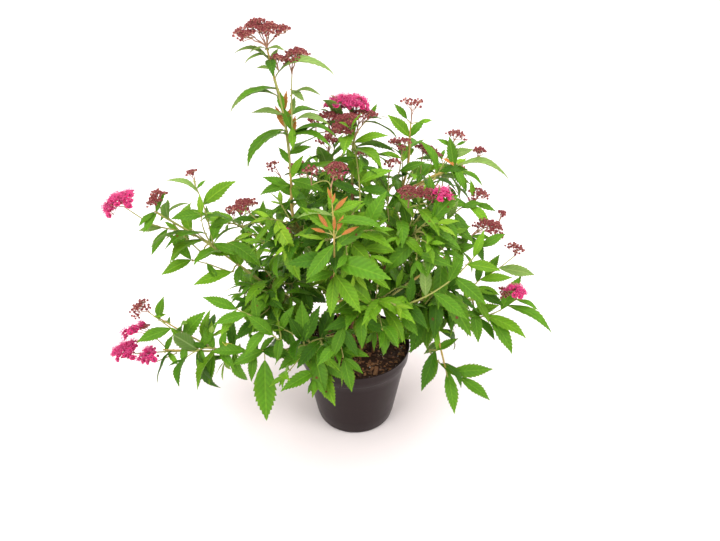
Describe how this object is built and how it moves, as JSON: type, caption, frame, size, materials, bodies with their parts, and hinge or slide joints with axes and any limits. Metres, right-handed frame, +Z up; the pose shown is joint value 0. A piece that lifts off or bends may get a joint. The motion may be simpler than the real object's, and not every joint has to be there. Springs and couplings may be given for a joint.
{
  "type": "spirea shrub",
  "caption": "Flowering spirea shrub in a round nursery pot, with arching leafy shoots and flat heads of pink blossom and maroon buds.",
  "frame": {"origin": "middle of the pot's flat underside", "axes": "+Z up, -Y towards the viewer of the picture, +X to the viewer's right"},
  "size_m": [0.4997, 0.3385, 0.4788],
  "materials": {
    "pot_plastic": "satin dark taupe moulded plastic",
    "compost": "moist dark brown bark compost",
    "stem_bark": "thin tan to red brown bark",
    "young_stem": "smooth straw green young stem",
    "leaf_green": "soft satin green leaf",
    "flower_pink": "matte deep pink petal",
    "bud_maroon": "matte maroon bud"
  },
  "bodies": {
    "root": {"pot": "pot_plastic", "compost": "compost", "stem_back": "stem_bark", "stem_back_left": "stem_bark", "stem_back_right": "stem_bark", "stem_centre": "stem_bark", "stem_front": "stem_bark", "stem_front_left": "stem_bark", "stem_left": "stem_bark", "stem_right": "stem_bark", "stem_upper_back_left": "stem_bark", "stem_upper_back_right": "stem_bark", "stem_upper_front": "stem_bark", "stem_upper_left": "stem_bark", "stem_upper_right": "stem_bark", "bough_back": "young_stem", "bough_back_left": "young_stem", "bough_back_right": "young_stem", "bough_bottom_left_arm": "young_stem", "bough_bottom_left_buds": "young_stem", "bough_bottom_left_flowers": "young_stem", "bough_bottom_right": "young_stem", "bough_high_right": "young_stem", "bough_left_arm": "young_stem", "bough_left_flowers": "young_stem", "bough_low_right": "young_stem", "bough_right_heads": "young_stem", "bough_tall": "young_stem", "bough_tall_head": "young_stem", "bough_top_right": "young_stem", "foliage_crown_top": "leaf_green", "foliage_low_back": "leaf_green", "foliage_low_back_left": "leaf_green", "foliage_low_back_right": "leaf_green", "foliage_low_front": "leaf_green", "foliage_low_front_left": "leaf_green", "foliage_low_left": "leaf_green", "foliage_low_right": "leaf_green", "foliage_upper_back_left": "leaf_green", "foliage_upper_back_right": "leaf_green", "foliage_upper_front": "leaf_green", "foliage_upper_left": "leaf_green", "foliage_upper_right": "leaf_green", "shoot_back": "leaf_green", "shoot_back_left": "leaf_green", "shoot_back_right": "leaf_green", "shoot_bottom_left_arm": "leaf_green", "shoot_bottom_left_buds": "bud_maroon", "shoot_bottom_left_flowers": "flower_pink", "shoot_bottom_right": "leaf_green", "shoot_hanging_left": "leaf_green", "shoot_high_right": "leaf_green", "shoot_left_arm": "leaf_green", "shoot_left_flowers": "flower_pink", "shoot_low_right": "leaf_green", "shoot_right_heads": "bud_maroon", "shoot_tall_head": "bud_maroon", "shoot_tall_leaves": "leaf_green", "shoot_top_right_head": "bud_maroon"}
  },
  "joints": []
}
